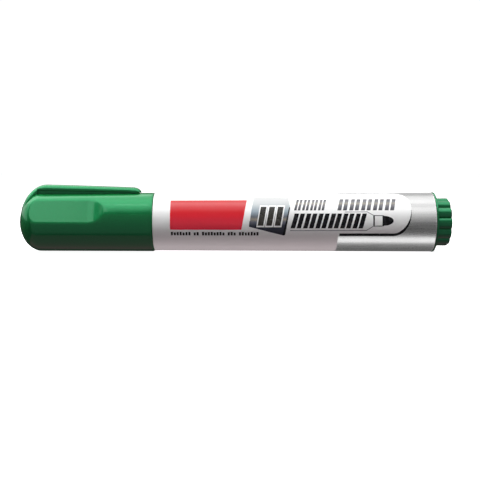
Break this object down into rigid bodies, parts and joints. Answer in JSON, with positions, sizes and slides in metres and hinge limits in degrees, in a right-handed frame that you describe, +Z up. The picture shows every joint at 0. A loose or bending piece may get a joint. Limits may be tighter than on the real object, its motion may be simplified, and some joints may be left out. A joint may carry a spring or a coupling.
{
  "type": "whiteboard marker",
  "caption": "Capped bullet-nib dry-wipe marker with a pocket-clip cap, a film-printed round barrel and a lobed pull-out rear plug.",
  "frame": {"origin": "on the surface that the marker lies on, below the middle of its length", "axes": "+X along the marker from the cap to the rear plug, +Z up through the pocket clip, +Y towards the back"},
  "size_m": [0.136, 0.019, 0.0214],
  "materials": {
    "cap_plastic": "polished green moulding",
    "seal_plastic": "soft natural moulding",
    "barrel_plastic": "smooth white moulding",
    "label_film": "glossy printed film",
    "label_foil": "bright silver print",
    "label_ink": "coloured print",
    "holder_plastic": "satin white moulding",
    "nib_fibre": "pressed fibre soaked in ink",
    "filler_fibre": "bundled fibre soaked in ink",
    "wrap_film": "thin clear film",
    "tube_plastic": "drawn translucent tube",
    "plug_plastic": "satin green moulding"
  },
  "bodies": {
    "pen": {"barrel_tube": "barrel_plastic", "label_sleeve": "label_film", "nib_holder": "holder_plastic", "nib": "nib_fibre", "ink_filler": "filler_fibre", "filler_wrap": "wrap_film", "breather_tube": "tube_plastic"},
    "cap": {"cap_shell": "cap_plastic", "inner_seal": "seal_plastic"},
    "plug": {"rear_plug": "plug_plastic"}
  },
  "joints": [
    {"name": "cap_pull", "type": "slide", "parent": "pen", "child": "cap", "axis": [-1, 0, 0], "range_m": [0, 0.045]},
    {"name": "plug_pull", "type": "slide", "parent": "pen", "child": "plug", "axis": [1, 0, 0], "range_m": [0, 0.014]}
  ]
}
